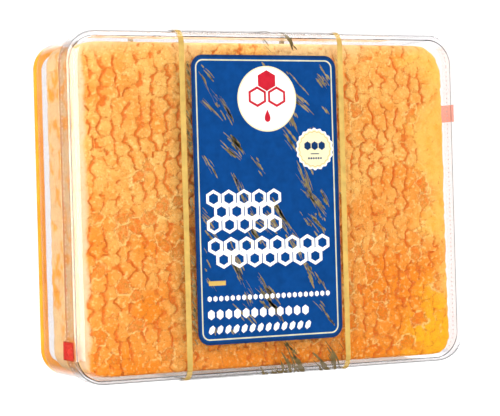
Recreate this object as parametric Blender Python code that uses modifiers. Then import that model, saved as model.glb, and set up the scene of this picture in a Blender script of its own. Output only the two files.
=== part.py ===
"""Clear plastic box holding a slab of capped honeycomb, standing on its long edge.

Metres, +Z up. The lid faces -Y and the deep tray lies behind it. The origin is in the middle of
the footprint, on the surface that the pack stands on. A clear film sleeve goes round the middle
of the box, and a short seal tape crosses the seam on each side.
"""
import math

import bmesh
import bpy
from mathutils import Vector

# The lid's outline and the depth of the shut box, over the outside of the walls.
BOX_WIDTH = 0.1454
BOX_HEIGHT = 0.1141
BOX_DEPTH = 0.0425
CORNER_RADIUS = 0.0103
FRONT_ROUND = 0.0045
BACK_ROUND = 0.0040

# The lid's skirt goes over the tray, which stands a little low in it.
LID_WALL = 0.0006
LID_DEPTH = 0.0119
TRAY_WALL = 0.0009
TRAY_INSET = 0.0012
TRAY_DROP = 0.0003
TRAY_MOUTH = 0.0050

# Clearance between pieces that touch, and how far a cutter runs past what it cuts.
GAP = 0.0003
CUT_PAST = 0.0040

# The film sleeve, and the two seal tapes.
SLEEVE_LEFT = -0.0354
SLEEVE_RIGHT = 0.0252
FILM = 0.0003
TAPE_WIDTH = 0.0060
LEFT_TAPE_START = 0.0037
RIGHT_TAPE_START = 0.0059
TAPE_END = 0.0136
TAPE_STEP = 0.0012
LEFT_TAPE_HEIGHT = -0.0458
RIGHT_TAPE_HEIGHT = 0.0298

# The honeycomb slab. Its sides are given from the middle of the lid.
COMB_LEFT = -0.0701
COMB_RIGHT = 0.0679
COMB_BOTTOM = -0.0547
COMB_TOP = 0.0534
COMB_SETBACK = 0.0030
COMB_THICKNESS = 0.0288
COMB_CORNERS = {"top_left": 0.0065, "top_right": 0.0105, "bottom_left": 0.0082, "bottom_right": 0.0068}
CELL_PITCH = 0.0054
COLUMN_PITCH = 0.00460
CAP_HEIGHT = 0.0011
CAP_UNEVEN = 0.0003
LEFT_SHOULDER = 0.0038
SHOULDER = 0.0018

# Arc segments on the corners of the box, on its rims and on the slab's outline.
CORNER_STEPS = 6
RIM_STEPS = 4
SLAB_STEPS = 4

# Places worked out from the sizes above.
FRONT = -BOX_DEPTH / 2
BACK = BOX_DEPTH / 2
SEAM = FRONT + LID_DEPTH
MIDDLE = BOX_HEIGHT / 2 + GAP + FILM
COMB_FRONT = FRONT + COMB_SETBACK
COMB_BACK = COMB_FRONT + COMB_THICKNESS

# Colour, roughness, metallic and how much light passes through.
FINISHES = {
    "clear_plastic": ((0.93, 0.91, 0.93), 0.08, 0.0, 0.9),
    "clear_film": ((0.96, 0.95, 0.95), 0.12, 0.0, 0.9),
    "honeycomb_wax": ((0.93, 0.45, 0.09), 0.45, 0.0, 0.0),
    "red_tape": ((0.75, 0.02, 0.03), 0.35, 0.0, 0.0),
}


def clear_scene():
    """Remove what the scene holds, so that every run starts from nothing."""
    for thing in list(bpy.data.objects):
        bpy.data.objects.remove(thing, do_unlink=True)


def new_collection(name):
    """Add a collection under the scene's own."""
    collection = bpy.data.collections.new(name)
    bpy.context.scene.collection.children.link(collection)
    return collection


def make_material(name):
    """Make the Principled material that FINISHES describes."""
    colour, roughness, metallic, clear = FINISHES[name]
    material = bpy.data.materials.new(name)
    material.use_nodes = True
    shader = material.node_tree.nodes["Principled BSDF"]
    shader.inputs["Base Color"].default_value = (*colour, 1.0)
    shader.inputs["Roughness"].default_value = roughness
    shader.inputs["Metallic"].default_value = metallic
    shader.inputs["Transmission Weight"].default_value = clear
    return material


def add_object(name, shape, collection, material=None):
    """Turn a bmesh into an object with its place in its mesh."""
    mesh = bpy.data.meshes.new(name)
    bmesh.ops.recalc_face_normals(shape, faces=shape.faces[:])
    shape.to_mesh(mesh)
    shape.free()
    thing = bpy.data.objects.new(name, mesh)
    collection.objects.link(thing)
    if material:
        mesh.materials.append(material)
        mesh.shade_smooth()
        mesh.set_sharp_from_angle(angle=math.radians(35))
    else:
        thing.hide_render = True
        thing.display_type = "WIRE"
    return thing


def add_boolean(thing, other, operation):
    """Cut the object by another one, join it or keep what they share."""
    modifier = thing.modifiers.new(other.name, "BOOLEAN")
    modifier.object = other
    modifier.operation = operation
    modifier.solver = "EXACT"


def bevel_edges(shape, chosen, radius, steps):
    """Round the edges for which chosen is true."""
    edges = [edge for edge in shape.edges if chosen(edge)]
    bmesh.ops.bevel(shape, geom=edges, offset=radius, offset_type="OFFSET", segments=steps,
                    profile=0.5, affect="EDGES", clamp_overlap=False)


def in_plane(edge, height):
    """True for an edge that lies in the plane y = height."""
    return all(abs(vertex.co.y - height) < 1e-7 for vertex in edge.verts)


def rounded_block(inset, front, back, front_round=0.0, back_round=0.0, drop=0.0):
    """Return a block with the lid's outline drawn in by inset and lowered by drop, its rims rounded."""
    shape = bmesh.new()
    bmesh.ops.create_cube(shape, size=1.0)
    size = Vector((BOX_WIDTH - 2 * inset, back - front, BOX_HEIGHT - 2 * inset))
    bmesh.ops.scale(shape, vec=size, verts=shape.verts)
    bmesh.ops.translate(shape, vec=(0.0, (front + back) / 2, MIDDLE - drop), verts=shape.verts)
    bevel_edges(shape, lambda edge: abs(edge.verts[0].co.y - edge.verts[1].co.y) > 1e-7,
                CORNER_RADIUS - inset, CORNER_STEPS)
    if front_round:
        bevel_edges(shape, lambda edge: in_plane(edge, front), front_round, RIM_STEPS)
    if back_round:
        bevel_edges(shape, lambda edge: in_plane(edge, back), back_round, RIM_STEPS)
    return shape


def arc(centre, radius, start, end, steps):
    """Return points on an arc, as pairs, with angles in radians."""
    angles = [start + (end - start) * step / steps for step in range(steps + 1)]
    return [(centre[0] + radius * math.cos(a), centre[1] + radius * math.sin(a)) for a in angles]


def build_lid(parts, cutters, material):
    """The shallow lid: a rounded block hollowed from behind."""
    lid = add_object("lid", rounded_block(0.0, FRONT, SEAM, front_round=FRONT_ROUND), parts, material)
    hollow = rounded_block(LID_WALL, FRONT + LID_WALL, SEAM + CUT_PAST, front_round=FRONT_ROUND - LID_WALL)
    add_boolean(lid, add_object("lid_hollow", hollow, cutters), "DIFFERENCE")


def build_tray(parts, cutters, material):
    """The deep tray: its straight wall goes up inside the lid's skirt as far as its mouth."""
    mouth = FRONT + TRAY_MOUTH
    solid = rounded_block(TRAY_INSET, mouth, BACK, back_round=BACK_ROUND, drop=TRAY_DROP)
    hollow = rounded_block(TRAY_INSET + TRAY_WALL, mouth - CUT_PAST, BACK - TRAY_WALL,
                           back_round=BACK_ROUND - TRAY_WALL, drop=TRAY_DROP)
    tray = add_object("tray", solid, parts, material)
    add_boolean(tray, add_object("tray_hollow", hollow, cutters), "DIFFERENCE")


def shoulder_drop(distance, radius):
    """How far a quarter-round edge falls away at a distance in from the side."""
    reach = min(max(distance, 0.0), radius)
    return radius - math.sqrt(radius ** 2 - (radius - reach) ** 2)


def face_depth(x, z, is_centre):
    """How far the comb's face lies behind its highest caps at a place.

    A cap is highest at its centre and falls to the groove between cells by CAP_HEIGHT. A slow
    wave makes the caps uneven, and a rounded shoulder runs along each side of the slab.
    """
    depth = 0.0 if is_centre else CAP_HEIGHT
    depth += CAP_UNEVEN * (1.0 + math.sin(430.0 * x + 1.3) * math.cos(510.0 * z + 0.4))
    depth += shoulder_drop(x - COMB_LEFT, LEFT_SHOULDER)
    depth += max(shoulder_drop(COMB_RIGHT - x, SHOULDER), shoulder_drop(COMB_TOP - z, SHOULDER),
                 shoulder_drop(z - COMB_BOTTOM, SHOULDER))
    return depth


def cell_corners(x, z):
    """The six corners of a cell that stands between its upper and lower neighbours."""
    wide = COLUMN_PITCH * 2 / 3
    narrow = COLUMN_PITCH / 3
    half = CELL_PITCH / 2
    return [(x + wide, z), (x + narrow, z + half), (x - narrow, z + half),
            (x - wide, z), (x - narrow, z - half), (x + narrow, z - half)]


def cell_centres():
    """Centres of the cells in upright columns, each column half a pitch off its neighbour."""
    columns = round((COMB_RIGHT - COMB_LEFT) / COLUMN_PITCH) + 3
    rows = round((COMB_TOP - COMB_BOTTOM) / CELL_PITCH) + 3
    for column in range(columns):
        for row in range(rows):
            x = COMB_LEFT + (column - 1) * COLUMN_PITCH
            z = COMB_BOTTOM + (row - 1 + 0.5 * (column % 2)) * CELL_PITCH
            yield x, z


def comb_block():
    """A block of whole cells, a little larger than the slab, with domed caps on both faces."""
    shape = bmesh.new()
    points = {}

    def corner(x, z, is_centre, is_back):
        """Return the vertex at a place, made once and shared by the cells round it."""
        key = (round(x, 6), round(z, 6), is_back)
        if key not in points:
            depth = face_depth(x, z, is_centre)
            y = COMB_BACK - depth if is_back else COMB_FRONT + depth
            points[key] = shape.verts.new((x, y, z + MIDDLE))
        return points[key]

    for x, z in cell_centres():
        for is_back in (False, True):
            centre = corner(x, z, True, is_back)
            ring = [corner(*place, False, is_back) for place in cell_corners(x, z)]
            for one, two in zip(ring, ring[1:] + ring[:1]):
                shape.faces.new((centre, two, one) if is_back else (centre, one, two))
    behind = {vertex: points[(x, z, True)] for (x, z, is_back), vertex in points.items() if not is_back}
    for edge in [edge for edge in shape.edges if edge.is_boundary and edge.verts[0] in behind]:
        one, two = edge.verts
        shape.faces.new((one, two, behind[two], behind[one]))
    return shape


def slab_outline():
    """The slab's outline as seen from the front, anticlockwise, with one radius a corner."""
    corners = [(COMB_RIGHT, COMB_TOP, "top_right", 0), (COMB_LEFT, COMB_TOP, "top_left", 1),
               (COMB_LEFT, COMB_BOTTOM, "bottom_left", 2), (COMB_RIGHT, COMB_BOTTOM, "bottom_right", 3)]
    outline = []
    for x, z, name, quarter in corners:
        radius = COMB_CORNERS[name]
        centre = (x - math.copysign(radius, x), z - math.copysign(radius, z))
        start = quarter * math.pi / 2
        outline += arc(centre, radius, start, start + math.pi / 2, SLAB_STEPS)
    return outline


def build_honeycomb(parts, cutters, material):
    """The comb: a block of cells trimmed to the outline of the slab."""
    comb = add_object("honeycomb", comb_block(), parts, material)
    trim = bmesh.new()
    face = trim.faces.new([trim.verts.new((x, FRONT, z + MIDDLE)) for x, z in slab_outline()])
    grown = bmesh.ops.extrude_face_region(trim, geom=[face])
    moved = [item for item in grown["geom"] if isinstance(item, bmesh.types.BMVert)]
    bmesh.ops.translate(trim, vec=(0.0, BOX_DEPTH, 0.0), verts=moved)
    add_boolean(comb, add_object("comb_trim", trim, cutters), "INTERSECT")


def wrapped_strip(name, path, closed, sweep, parts, material):
    """A film that follows a path of points and is swept sideways, thickened outwards.

    Each face looks along the sweep crossed with the path's direction, which is away from the box.
    """
    shape = bmesh.new()
    near = [shape.verts.new(point) for point in path]
    far = [shape.verts.new(Vector(point) + Vector(sweep)) for point in path]
    count = len(path) if closed else len(path) - 1
    for index in range(count):
        after = (index + 1) % len(path)
        shape.faces.new((near[index], far[index], far[after], near[after]))
    mesh = bpy.data.meshes.new(name)
    shape.to_mesh(mesh)
    shape.free()
    mesh.materials.append(material)
    strip = bpy.data.objects.new(name, mesh)
    parts.objects.link(strip)
    solidify = strip.modifiers.new("film", "SOLIDIFY")
    solidify.thickness = FILM
    solidify.offset = 1.0
    solidify.use_even_offset = True


def build_sleeve(parts, material):
    """The film sleeve: a band round the front, top, back and underside of the box."""
    half = BOX_HEIGHT / 2
    low = MIDDLE - half
    high = MIDDLE + half
    rims = [(FRONT + FRONT_ROUND, high - FRONT_ROUND, FRONT_ROUND, math.pi),
            (BACK - BACK_ROUND, high - BACK_ROUND, BACK_ROUND, math.pi / 2),
            (BACK - BACK_ROUND, low + BACK_ROUND, BACK_ROUND, 0.0),
            (FRONT + FRONT_ROUND, low + FRONT_ROUND, FRONT_ROUND, -math.pi / 2)]
    path = []
    for y, z, radius, start in rims:
        path += arc((y, z), radius + GAP, start, start - math.pi / 2, RIM_STEPS)
    points = [(SLEEVE_LEFT, y, z) for y, z in path]
    wrapped_strip("sleeve", points, True, (SLEEVE_RIGHT - SLEEVE_LEFT, 0.0, 0.0), parts, material)


def build_tape(name, side, height, first, parts, material):
    """A seal tape that starts at a depth on the lid's side, crosses the seam and steps on to the tray."""
    lid_side = BOX_WIDTH / 2 + GAP
    tray_side = lid_side - TRAY_INSET
    turn = FRONT + FRONT_ROUND
    start = FRONT + first
    path = [(tray_side, FRONT + TAPE_END), (tray_side, SEAM + TAPE_STEP), (lid_side, SEAM + GAP),
            (lid_side, max(turn, start))]
    if start < turn:
        lean = lid_side - (FRONT_ROUND + GAP) + math.sqrt((FRONT_ROUND + GAP) ** 2 - (turn - start) ** 2)
        path.append((lean, start))
    if side < 0:
        path.reverse()
    low = MIDDLE + height - TAPE_WIDTH / 2
    points = [(side * x, y, low) for x, y in path]
    wrapped_strip(name, points, False, (0.0, 0.0, TAPE_WIDTH), parts, material)


def main():
    """Build the pack."""
    clear_scene()
    parts = new_collection("honeycomb_pack")
    cutters = new_collection("cutters")
    finish = {name: make_material(name) for name in FINISHES}
    build_tray(parts, cutters, finish["clear_plastic"])
    build_lid(parts, cutters, finish["clear_plastic"])
    build_honeycomb(parts, cutters, finish["honeycomb_wax"])
    build_sleeve(parts, finish["clear_film"])
    build_tape("seal_tape_left", -1, LEFT_TAPE_HEIGHT, LEFT_TAPE_START, parts, finish["red_tape"])
    build_tape("seal_tape_right", 1, RIGHT_TAPE_HEIGHT, RIGHT_TAPE_START, parts, finish["red_tape"])


main()
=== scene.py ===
# %% [markdown]
# # Honeycomb in a clear box
#
# The object is a retail pack: a slab of capped honeycomb in a shut clear plastic box. The box
# stands on its long edge, with a printed film sleeve round its middle and a red seal tape on each
# side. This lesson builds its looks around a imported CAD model, in metres, with +Z up and the lid
# facing -Y. Most shapes are worked out as whole arrays with numpy, because one formula over a grid
# is shorter and more even than many moves of single points.

# %% Load the model
import math

import bpy
import numpy as np
from mathutils import Matrix, Vector


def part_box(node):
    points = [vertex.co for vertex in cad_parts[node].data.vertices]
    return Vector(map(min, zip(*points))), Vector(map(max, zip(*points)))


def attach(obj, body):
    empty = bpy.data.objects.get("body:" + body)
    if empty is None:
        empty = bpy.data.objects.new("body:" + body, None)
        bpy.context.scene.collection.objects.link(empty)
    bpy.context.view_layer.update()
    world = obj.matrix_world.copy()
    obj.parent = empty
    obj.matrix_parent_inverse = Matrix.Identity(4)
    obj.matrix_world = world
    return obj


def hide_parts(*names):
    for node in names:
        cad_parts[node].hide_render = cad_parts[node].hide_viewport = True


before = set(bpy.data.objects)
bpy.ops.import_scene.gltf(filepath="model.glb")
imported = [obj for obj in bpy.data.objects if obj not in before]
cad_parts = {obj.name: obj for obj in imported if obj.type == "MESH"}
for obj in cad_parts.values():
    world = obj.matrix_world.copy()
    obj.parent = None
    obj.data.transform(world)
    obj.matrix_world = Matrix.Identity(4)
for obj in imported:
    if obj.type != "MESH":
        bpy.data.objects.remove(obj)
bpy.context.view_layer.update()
print("nodes:", sorted(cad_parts))

# %% Read the places of the parts
MM = 0.001

lid_low, lid_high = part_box("lid")
tray_low, tray_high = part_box("tray")
comb_low, comb_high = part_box("honeycomb")
sleeve_low, sleeve_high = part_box("sleeve")
MIDDLE = (lid_low.z + lid_high.z) / 2
print(f"lid {1000 * (lid_high.x - lid_low.x):.1f} mm wide, middle at {1000 * MIDDLE:.1f} mm")

# %% [markdown]
# ## Camera
#
# The camera looks level at the middle of the box from a little left of its front, through a long
# lens, so that upright edges stay nearly parallel. It is rolled by a degree and a half. A Track To
# constraint could aim it, but three axes worked out with sine and cosine say the same thing without
# a helper object.

# %% Place the camera
LENS = 131.8
CAMERA_AZIMUTH = math.radians(-26.0)
CAMERA_DISTANCE = 0.6294
CAMERA_OFFSET = 0.00057
CAMERA_ROLL = 0.028

right = Vector((math.cos(CAMERA_AZIMUTH), math.sin(CAMERA_AZIMUTH), 0.0))
forward = Vector((-math.sin(CAMERA_AZIMUTH), math.cos(CAMERA_AZIMUTH), 0.0))
up = Vector((0.0, 0.0, 1.0))
camera_data = bpy.data.cameras.new("camera")
camera_data.lens = LENS
camera_data.shift_y = -0.0097
camera_data.clip_end = 50.0
camera = bpy.data.objects.new("camera", camera_data)
bpy.context.scene.collection.objects.link(camera)
aim = Matrix((right, up, -forward)).transposed()
camera.matrix_world = (Matrix.Translation(Vector((0.0, 0.0, MIDDLE)) - CAMERA_OFFSET * right
                                          - CAMERA_DISTANCE * forward)
                       @ (aim @ Matrix.Rotation(-CAMERA_ROLL, 3, "Z")).to_4x4())
bpy.context.scene.camera = camera
print("camera at", [round(v, 3) for v in camera.matrix_world.translation])

# %% [markdown]
# ## Light
#
# Clear plastic shows only what it mirrors and what stands behind it. The studio is therefore white
# behind the pack, dim where the flat lid mirrors it, and bright in cards beside the pack, which the
# rounded rims mirror as white lines. The lamps that light the comb are soft and large.

# %% Set the world, the floor and the lamps
scene = bpy.context.scene
scene.view_settings.view_transform = "Standard"
world = bpy.data.worlds.new("studio")
scene.world = world
world.use_nodes = True
world.node_tree.nodes.clear()


BACKDROP = (0.4384, 0.8988, 0.0)


def mirrored_once(tree):
    """A socket that is 1 where a ray has been mirrored once and doesn't end at the backdrop, else 0.

    Glossy Depth counts the mirroring surfaces a ray has met. A ray that ends within about 30
    degrees of the backdrop's direction is left white.
    """
    def maths(operation, one, two, three=None):
        node = tree.nodes.new("ShaderNodeMath")
        node.operation = operation
        for socket, value in zip(node.inputs, (one, two, three)):
            if isinstance(value, bpy.types.NodeSocket):
                tree.links.new(value, socket)
            elif value is not None:
                socket.default_value = value
        return node.outputs[0]

    path = tree.nodes.new("ShaderNodeLightPath")
    place = tree.nodes.new("ShaderNodeTexCoord")
    unit = tree.nodes.new("ShaderNodeVectorMath")
    unit.operation = "NORMALIZE"
    tree.links.new(place.outputs["Object" if tree.nodes.get("Principled BSDF") else "Generated"], unit.inputs[0])
    towards = tree.nodes.new("ShaderNodeVectorMath")
    towards.operation = "DOT_PRODUCT"
    towards.inputs[1].default_value = BACKDROP
    tree.links.new(unit.outputs[0], towards.inputs[0])
    aside = tree.nodes.new("ShaderNodeMapRange")
    tree.links.new(towards.outputs["Value"], aside.inputs["Value"])
    for name, value in (("From Min", 0.80), ("From Max", 0.90), ("To Min", 1.0), ("To Max", 0.0)):
        aside.inputs[name].default_value = value
    once = maths("COMPARE", path.outputs["Glossy Depth"], 1.0, 0.5)
    plain = maths("LESS_THAN", path.outputs["Diffuse Depth"], 0.5)
    return maths("MULTIPLY", maths("MULTIPLY", once, plain), aside.outputs["Result"])


def white_or_dim(tree, white, bright, dim, output):
    """Join three shaders: white for the light that falls on things, bright where a ray goes straight
    from the camera or through clear plastic, and dim where it comes off a mirroring surface."""
    path = tree.nodes.new("ShaderNodeLightPath")
    straight = tree.nodes.new("ShaderNodeMath")
    straight.operation = "LESS_THAN"
    tree.links.new(path.outputs["Diffuse Depth"], straight.inputs[0])
    direct = tree.nodes.new("ShaderNodeMixShader")
    tree.links.new(straight.outputs[0], direct.inputs["Fac"])
    tree.links.new(white, direct.inputs[1])
    tree.links.new(bright, direct.inputs[2])
    mix = tree.nodes.new("ShaderNodeMixShader")
    tree.links.new(mirrored_once(tree), mix.inputs["Fac"])
    tree.links.new(direct.outputs["Shader"], mix.inputs[1])
    tree.links.new(dim, mix.inputs[2])
    tree.links.new(mix.outputs["Shader"], output)


def plain_light(tree, kind, strength):
    """A white or dim background or emission shader."""
    node = tree.nodes.new(kind)
    node.inputs["Color"].default_value = (1.0, 0.995, 0.99, 1.0)
    node.inputs["Strength"].default_value = strength
    return node.outputs[0]


world_out = world.node_tree.nodes.new("ShaderNodeOutputWorld")
white_or_dim(world.node_tree, plain_light(world.node_tree, "ShaderNodeBackground", 1.04),
             plain_light(world.node_tree, "ShaderNodeBackground", 1.22),
             plain_light(world.node_tree, "ShaderNodeBackground", 0.12), world_out.inputs["Surface"])


def add_lamp(name, place, target, size, power, mirrored_only=False):
    """Add a rectangular lamp that faces a target, seen by plain surfaces or by mirroring ones."""
    data = bpy.data.lights.new(name, "AREA")
    data.shape = "RECTANGLE"
    data.size, data.size_y = size
    data.energy = power
    lamp = bpy.data.objects.new(name, data)
    scene.collection.objects.link(lamp)
    lamp.location = place
    lamp.rotation_euler = (Vector(target) - Vector(place)).to_track_quat("-Z", "Y").to_euler()
    lamp.visible_camera = False
    lamp.visible_transmission = False
    lamp.visible_diffuse = not mirrored_only
    lamp.visible_glossy = mirrored_only
    return lamp


centre = (0.0, 0.0, MIDDLE)
add_lamp("key", (-0.5, -1.0, 0.9), centre, (0.9, 0.9), 8.0)
add_lamp("fill", (0.9, -0.9, 0.5), centre, (0.8, 0.8), 3.0)
add_lamp("left_card", (-1.14, 0.37, 0.25), centre, (1.35, 1.4), 70.0, mirrored_only=True)
add_lamp("front_left_card", (-0.99, -0.68, 0.25), centre, (0.9, 1.4), 55.0, mirrored_only=True)
add_lamp("top_card", (0.0, -0.1, 1.2), centre, (1.4, 0.9), 40.0, mirrored_only=True)
add_lamp("right_card", (1.0, 0.25, 0.25), centre, (1.0, 1.2), 40.0, mirrored_only=True)
add_lamp("table_card", (0.0, -0.35, -0.9), centre, (1.4, 0.9), 16.0, mirrored_only=True)

floor_data = bpy.data.meshes.new("floor")
floor_data.from_pydata([(-6, -6, 0), (6, -6, 0), (6, 6, 0), (-6, 6, 0)], [], [(0, 1, 2, 3)])
floor = bpy.data.objects.new("floor", floor_data)
scene.collection.objects.link(floor)
floor_material = bpy.data.materials.new("light_table")
floor_material.use_nodes = True
floor_shader = floor_material.node_tree.nodes["Principled BSDF"]
floor_shader.inputs["Base Color"].default_value = (0.35, 0.35, 0.35, 1.0)
floor_shader.inputs["Roughness"].default_value = 0.9
floor_shader.inputs["Specular IOR Level"].default_value = 0.0
floor_shader.inputs["Emission Color"].default_value = (1.0, 1.0, 1.0, 1.0)
floor_shader.inputs["Emission Strength"].default_value = 0.70
white_or_dim(floor_material.node_tree, floor_shader.outputs["BSDF"],
             plain_light(floor_material.node_tree, "ShaderNodeEmission", 1.22),
             plain_light(floor_material.node_tree, "ShaderNodeEmission", 0.12),
             floor_material.node_tree.nodes["Material Output"].inputs["Surface"])
floor_data.materials.append(floor_material)
floor.visible_glossy = False

# %% [markdown]
# ## Helpers
#
# Every piece is a grid of points that is joined into quads. A shell or a tube closes on itself in
# one direction, so its grid wraps. The helpers below are all that the pieces share.

# %% Grids, loops and meshes


def grid_faces(rows, columns, wrap_rows=False, wrap_columns=False, start=0):
    """Index quads of a grid of points stored row by row. A wrapped direction closes on itself."""
    row = np.arange(rows if wrap_rows else rows - 1)[:, None]
    column = np.arange(columns if wrap_columns else columns - 1)[None, :]
    above, beside = (row + 1) % rows, (column + 1) % columns
    corners = (row * columns + column, row * columns + beside,
               above * columns + beside, above * columns + column)
    return start + np.stack([np.broadcast_to(c, (len(row), column.size)) for c in corners], -1).reshape(-1, 4)


def new_piece(name, points, faces, material, flip=False, sharp=40.0, normals=None):
    """Make an object at the origin from points and faces, with soft shading across gentle edges."""
    faces = [face[::-1] for face in faces] if flip else faces
    mesh = bpy.data.meshes.new(name)
    mesh.from_pydata(np.asarray(points).reshape(-1, 3).tolist(), [], faces)
    mesh.materials.append(material)
    mesh.shade_smooth()
    if normals is None:
        mesh.set_sharp_from_angle(angle=math.radians(sharp))
    else:
        mesh.normals_split_custom_set_from_vertices(np.asarray(normals).reshape(-1, 3).tolist())
    piece = bpy.data.objects.new(name, mesh)
    scene.collection.objects.link(piece)
    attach(piece, "root")
    print(f"{name}: {len(mesh.vertices)} points, {len(mesh.polygons)} faces")
    return piece


CORNER_STEPS = 16


def rounded_loop(half_width, half_height, radius, steps=CORNER_STEPS):
    """Points of rounded rectangles about the origin, anticlockwise, with one row for each size given.

    A corner is a quarter circle whose centre stands a radius in from both sides. Each point is that
    centre plus the radius times the cosine and the sine of its angle.
    """
    half_width, half_height, radius = (np.atleast_1d(np.asarray(v, float))[:, None]
                                       for v in (half_width, half_height, radius))
    angle = (np.arange(4)[:, None] * np.pi / 2 + np.linspace(0, np.pi / 2, steps + 1)).ravel()
    side_x = np.repeat([1, -1, -1, 1], steps + 1)
    side_z = np.repeat([1, 1, -1, -1], steps + 1)
    x = side_x * (half_width - radius) + radius * np.cos(angle)
    z = side_z * (half_height - radius) + radius * np.sin(angle)
    return x, z


def smooth_noise(x, z, size, seed):
    """Noise from 0 to 1 over the plane: random values on a lattice, blended with an S-curve between."""
    values = np.random.default_rng(seed).random((257, 257))
    u, v = np.broadcast_arrays(np.asarray(x) / size + 1000.5, np.asarray(z) / size + 1000.5)
    column, row = np.floor(u).astype(int), np.floor(v).astype(int)
    s, t = u - column, v - row
    s, t = s * s * (3 - 2 * s), t * t * (3 - 2 * t)
    column, row = column % 256, row % 256
    low = values[row, column] * (1 - s) + values[row, column + 1] * s
    high = values[row + 1, column] * (1 - s) + values[row + 1, column + 1] * s
    return low * (1 - t) + high * t


def smooth_step(low, high, value):
    """An S-curve from 0 where value is low to 1 where it is high."""
    t = np.clip((value - low) / (high - low), 0.0, 1.0)
    return t * t * (3 - 2 * t)


def give_values(piece, **values):
    """Store one number a point under each name, for a material to read."""
    for name, array in values.items():
        attribute = piece.data.attributes.new(name, "FLOAT", "POINT")
        attribute.data.foreach_set("value", np.asarray(array, np.float32).ravel())


# %% Materials


def new_material(name, colour, roughness, **settings):
    """Make a material and set its Principled shader's own sockets."""
    material = bpy.data.materials.new(name)
    material.use_nodes = True
    shader = material.node_tree.nodes["Principled BSDF"]
    shader.inputs["Base Color"].default_value = (*colour, 1.0)
    shader.inputs["Roughness"].default_value = roughness
    for socket, value in settings.items():
        shader.inputs[socket.replace("_", " ")].default_value = value
    return material


def let_lamps_through(material, tint):
    """Let shadow rays pass straight through, so that lamps reach what is behind the plastic."""
    nodes, links = material.node_tree.nodes, material.node_tree.links
    shader, output = nodes["Principled BSDF"], nodes["Material Output"]
    clear = nodes.new("ShaderNodeBsdfTransparent")
    clear.inputs["Color"].default_value = (*tint, 1.0)
    path = nodes.new("ShaderNodeLightPath")
    mix = nodes.new("ShaderNodeMixShader")
    links.new(path.outputs["Is Shadow Ray"], mix.inputs["Fac"])
    links.new(shader.outputs["BSDF"], mix.inputs[1])
    links.new(clear.outputs["BSDF"], mix.inputs[2])
    links.new(mix.outputs["Shader"], output.inputs["Surface"])


def add_node(material, kind, inputs=None, **settings):
    """Add a node, set its properties and its input values or links, and return it."""
    tree = material.node_tree if hasattr(material, "node_tree") else material
    node = tree.nodes.new(kind)
    for name, value in settings.items():
        setattr(node, name, value)
    for key, value in (inputs or {}).items():
        if isinstance(value, bpy.types.NodeSocket):
            tree.links.new(value, node.inputs[key])
        else:
            node.inputs[key].default_value = value
    return node


def mix_colours(material, factor, one, two):
    """Mix two colours by a factor and return the mixed colour's socket."""
    return add_node(material, "ShaderNodeMix", {"Factor": factor, 6: one, 7: two}, data_type="RGBA").outputs[2]


# %% [markdown]
# Nearly every surface here is a little uneven in colour, in gloss or in height. They share one node
# group, which gives a mask of soft spots of any size: noise over the object's own coordinates,
# stretched between two limits.

# %% Make the shared node group
mottle = bpy.data.node_groups.new("mottle", "ShaderNodeTree")
for name, value in (("Scale", 300.0), ("Low", 0.3), ("High", 0.7)):
    mottle.interface.new_socket(name=name, in_out="INPUT", socket_type="NodeSocketFloat").default_value = value
mottle.interface.new_socket(name="Mask", in_out="OUTPUT", socket_type="NodeSocketFloat")
group_in, group_out = mottle.nodes.new("NodeGroupInput"), mottle.nodes.new("NodeGroupOutput")
texture_place = mottle.nodes.new("ShaderNodeTexCoord")
spots = mottle.nodes.new("ShaderNodeTexNoise")
spots.inputs["Detail"].default_value = 3.0
stretch = mottle.nodes.new("ShaderNodeMapRange")
mottle.links.new(texture_place.outputs["Object"], spots.inputs["Vector"])
mottle.links.new(group_in.outputs["Scale"], spots.inputs["Scale"])
mottle.links.new(spots.outputs["Fac"], stretch.inputs["Value"])
mottle.links.new(group_in.outputs["Low"], stretch.inputs["From Min"])
mottle.links.new(group_in.outputs["High"], stretch.inputs["From Max"])
mottle.links.new(stretch.outputs["Result"], group_out.inputs["Mask"])


def place_group(material, group, **values):
    """Place a node group in a material with its own values, and return its first output."""
    node = add_node(material, "ShaderNodeGroup", node_tree=group)
    for name, value in values.items():
        node.inputs[name].default_value = value
    return node.outputs[0]


# %% [markdown]
# ## The comb
#
# Bees build the cells of a comb in upright columns, each half a cell off its neighbour, and close
# every full cell with a thin wax cap. On this slab the caps have grown together down each column,
# and broken wavy crevices of darker honey-soaked wax run between the columns. A Displace modifier on
# a picture could give such a face, but here the height is a formula over a fine grid, so the colours
# can follow it exactly.

# %% Work out the relief of the caps
CELL_PITCH = 5.4 * MM
COLUMN_PITCH = 4.54 * MM


def nearest_cells(x, z, seed):
    """Distances to the nearest two cell centres, and the column and the row of each.

    The centres stand in columns, every second column half a pitch higher, and each is moved a
    little at random. The nine cells round a place are measured and the nearest two are picked.
    """
    shift = np.random.default_rng(seed).normal(0.0, 0.42 * MM, (64, 64, 2))
    beside, above = (step.reshape(9, 1, 1) for step in np.meshgrid([-1, 0, 1], [-1, 0, 1]))
    column = np.rint(x / COLUMN_PITCH).astype(int) + beside
    offset = 0.5 * (column % 2)
    row = np.rint(z / CELL_PITCH - offset).astype(int) + above
    moved = shift[column % 64, row % 64]
    distance = np.hypot(x - column * COLUMN_PITCH - moved[..., 0], z - (row + offset) * CELL_PITCH - moved[..., 1])
    order = np.argsort(distance, axis=0)[:2]
    return (np.take_along_axis(values, order, axis=0) for values in (distance, column, row))


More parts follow.
